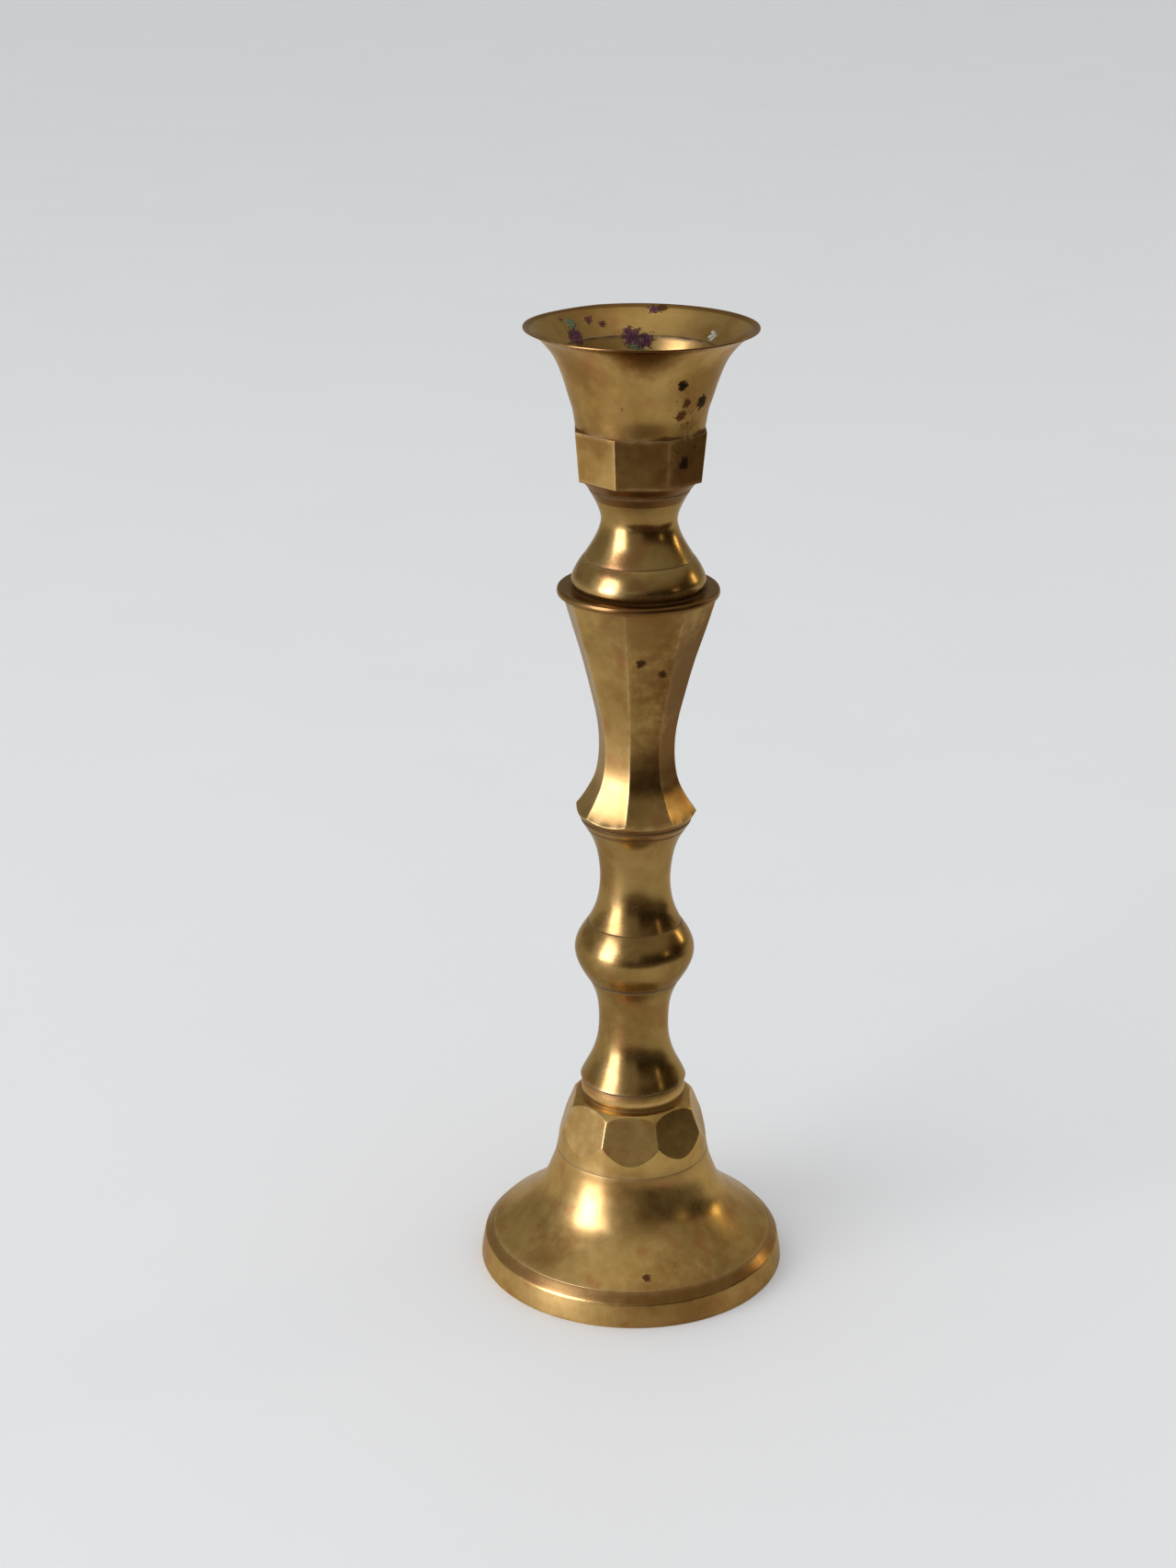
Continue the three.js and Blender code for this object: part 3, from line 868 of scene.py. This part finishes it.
def spring_steel():
    """Oil-blackened spring steel, rubbed bare in places."""
    g = Material("oil-blackened spring steel", Metallic=1.0)
    rubbed = g.noise(0.8, 4)
    colour = g.mix(g.between(rubbed, 0.5, 0.68), (0.06, 0.055, 0.05), (0.3, 0.28, 0.26))
    g.set(g.shader.inputs["Base Color"], colour)
    g.set(g.shader.inputs["Roughness"], g.between(rubbed, 0.3, 0.7, 0.5, 0.33))
    g.set(g.shader.inputs["Normal"], g.bump(g.noise(2.5, 3), 0.00001))
    return g.material


# ---------------------------------------------------------------- the nine pieces
def add(piece, node, body="stem"):
    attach(piece, body)
    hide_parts(node)


def section(name, node, outline, material, body="stem", closed=True, bend=None):
    clocking = CLOCKING.get(node, 0.0)
    piece = turned(name, outline, material, SEAT[node], clocking=clocking, closed=closed, bend=bend)
    add(piece, node, body)


def make_candlestick():
    stem, zinc_plate = stem_brass(), zinc()
    section("bell_foot", "base", base_outline, base_brass())
    section("waisted_spool", "lower_spool", spool_outline, stem)
    section("onion_baluster", "baluster", baluster_outline, stem)
    section("eight_flat_column", "faceted_column", column_outline, column_brass())
    section("bell_under_cup", "neck_bell", neck_outline, stem)
    section("flared_cup", "candle_cup", cup_outline, cup_brass(), "cup", False, uneven_rim)
    washer_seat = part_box("flat_washer")[0].z / MM
    thick = WEB_UNDERSIDE - washer_seat
    outline = washer_outline(PLAIN_WASHER_RADIUS, thick)
    washer = turned("plain_washer", outline, zinc_plate, washer_seat, wandering=False)
    add(washer, "flat_washer")
    thick = washer_seat - BOLT_SEAT
    ring = split_ring("split_washer", SPRING_WASHER_RADIUS, thick, SPLIT, spring_steel(), BOLT_SEAT)
    add(ring, "spring_washer")
    bolt = turned("long_hex_bolt", bolt_outline, zinc_plate, BOLT_SEAT, flats=HEXAGON, closed=False,
                  bend=threaded, wandering=False, half_steps=6)
    add(bolt, "tie_bolt", "bolt")


# ---------------------------------------------------------------- table, light and camera
TABLE_RADIUS, TABLE_SIDES, DARK_EDGE_HEIGHT = 14.0, 96, 0.001
MIDDLE = Vector((0, 0, 0.1))  # of the stem
DAYLIGHT, SKYLIGHT, LAMPLIGHT = (0.95, 1.0, 1.45), (1.0, 0.99, 0.97), (1.0, 0.84, 0.58)
ROOM_TINT, DARK_TINT = (0.98, 0.99, 1.0), (1.0, 0.62, 0.3)
ROOM_WALLS, ROOM_CEILING, ROOM_DARK, ROOM_FILL = 0.4, 0.85, 0.12, 0.8
# each dark stretch of the room: its azimuth, the cosines across which it fades in sideways, and
# the sines of the elevations across which it fades out upward
DARK_WAYS = [(38.0, (0.3, 0.6), (0.08, 0.22)), (66.0, (0.45, 0.64), (0.3, 0.6))]
DARK_CORNERS = [(-0.3, -0.27), (0.33, -0.23), (0.42, 0.25), (5, 0.6), (5, -5), (-1.6, -5)]


def level_sheet(name, corners, height, material):
    """One flat face that looks up, with its corners given clockwise from above."""
    mesh = bpy.data.meshes.new(name)
    mesh.from_pydata([(x, y, height) for x, y in corners], [], [tuple(reversed(range(len(corners))))])
    mesh.materials.append(material)
    sheet = bpy.data.objects.new(name, mesh)
    bpy.context.scene.collection.objects.link(sheet)
    return sheet


def pale_paint():
    g = Material("pale table", Roughness=0.55)
    faint = g.noise(0.012, 4)
    g.set(g.shader.inputs["Base Color"], g.mix(faint, (0.785, 0.79, 0.8), (0.815, 0.82, 0.83)))
    return g.material


def table():
    turns = [k * math.tau / TABLE_SIDES for k in range(TABLE_SIDES)]
    edge = [(TABLE_RADIUS * math.sin(turn), TABLE_RADIUS * math.cos(turn)) for turn in turns]
    level_sheet("table", edge, 0.0, pale_paint())


def dark_edge():
    """Beyond the table's front edge the room is dark; only reflections show it."""
    g = Material("dark room", Roughness=1.0)
    colour = g.mix(g.noise(0.002), (0.07, 0.03, 0.009), (0.1, 0.045, 0.014))
    g.set(g.shader.inputs["Base Color"], colour)
    flag = level_sheet("dark edge", DARK_CORNERS, DARK_EDGE_HEIGHT, g.material)
    flag.visible_camera = flag.visible_diffuse = flag.visible_shadow = False


def soft_window(azimuth, elevation, distance, size, radiance, colour):
    """A rectangular soft light that faces the middle of the stem."""
    a, e = math.radians(azimuth), math.radians(elevation)
    away = Vector((math.sin(a) * math.cos(e), -math.cos(a) * math.cos(e), math.sin(e)))
    light = bpy.data.lights.new("soft light", "AREA")
    light.shape, light.size, light.size_y, light.color = "RECTANGLE", *size, colour
    light.energy = radiance * math.pi * size[0] * size[1]
    lamp = bpy.data.objects.new("soft light", light)
    lamp.location = MIDDLE + away * distance
    lamp.rotation_euler = (-away).to_track_quat("-Z", "Y").to_euler()
    bpy.context.scene.collection.objects.link(lamp)
    return lamp


def windows():
    """A window with a wide dim glow round it, its softer light on the table, and two warm lamps."""
    seen = soft_window(-55, 18.5, 2.0, (0.96, 1.44), 9.5, DAYLIGHT)
    glow = soft_window(-62, 16, 2.1, (2.1, 1.7), 0.4, DAYLIGHT)
    seen.visible_diffuse = glow.visible_diffuse = False
    cast = soft_window(-56, 20, 2.0, (1.3, 1.5), 3.2, SKYLIGHT)
    cast.visible_glossy = False
    soft_window(116, 14, 1.6, (0.11, 0.28), 12.0, LAMPLIGHT)
    soft_window(66, 16, 1.8, (0.06, 0.14), 9.0, LAMPLIGHT)


def room_light():
    """A pale room all round. Its reflections are dimmer and warmer low down at the front."""
    world = bpy.data.worlds.new("room")
    world.use_nodes = True
    bpy.context.scene.world = world
    g = Nodes(world.node_tree)
    direction = g.node("ShaderNodeTexCoord", {}, {}, "Generated")
    rise = g.node("ShaderNodeSeparateXYZ", {}, {0: direction}, "Z")
    seen, tint = g.between(rise, 0.75, 1.0, ROOM_WALLS, ROOM_CEILING), 0.0
    for azimuth, sides, top in DARK_WAYS:
        way = math.radians(azimuth)
        facing = g.vector("DOT_PRODUCT", direction, (math.sin(way), -math.cos(way), 0))
        dark = g.product(g.between(rise, *top, 1.0, 0.0), g.between(facing, *sides))
        seen = g.product(seen, g.between(dark, 0.0, 1.0, 1.0, ROOM_DARK))
        tint = g.math("MAXIMUM", tint, dark)
    rays = g.node("ShaderNodeLightPath", {}, {}, "Is Glossy Ray")
    strength = g.node("ShaderNodeMix", {"data_type": "FLOAT"}, {0: rays, 2: ROOM_FILL, 3: seen})
    background = world.node_tree.nodes["Background"]
    g.set(background.inputs["Strength"], strength)
    g.set(background.inputs["Color"], g.mix(g.product(rays, tint), ROOM_TINT, DARK_TINT))


def place_camera():
    """Eye 514 mm in front of the stem and 302 mm up, looking down 20.8 degrees."""
    pitch, yaw, roll = math.radians(20.765), math.radians(-1.0855), math.radians(0.271)
    forward = Vector((math.sin(yaw) * math.cos(pitch), math.cos(yaw) * math.cos(pitch), -math.sin(pitch)))
    level = forward.cross(Vector((0, 0, 1))).normalized()
    upright = level.cross(forward)
    right = math.cos(roll) * level + math.sin(roll) * upright
    up = math.cos(roll) * upright - math.sin(roll) * level
    turn = Matrix((right, up, -forward)).transposed().to_4x4()
    camera = bpy.data.cameras.new("camera")
    camera.lens, camera.sensor_width, camera.sensor_fit = 62.55, 36.0, "AUTO"
    eye = bpy.data.objects.new("camera", camera)
    eye.matrix_world = Matrix.Translation((0, -0.5139, 0.3018)) @ turn
    bpy.context.scene.collection.objects.link(eye)
    bpy.context.scene.camera = eye


make_candlestick()
table()
dark_edge()
windows()
room_light()
place_camera()
bpy.context.scene.view_settings.view_transform = "Standard"
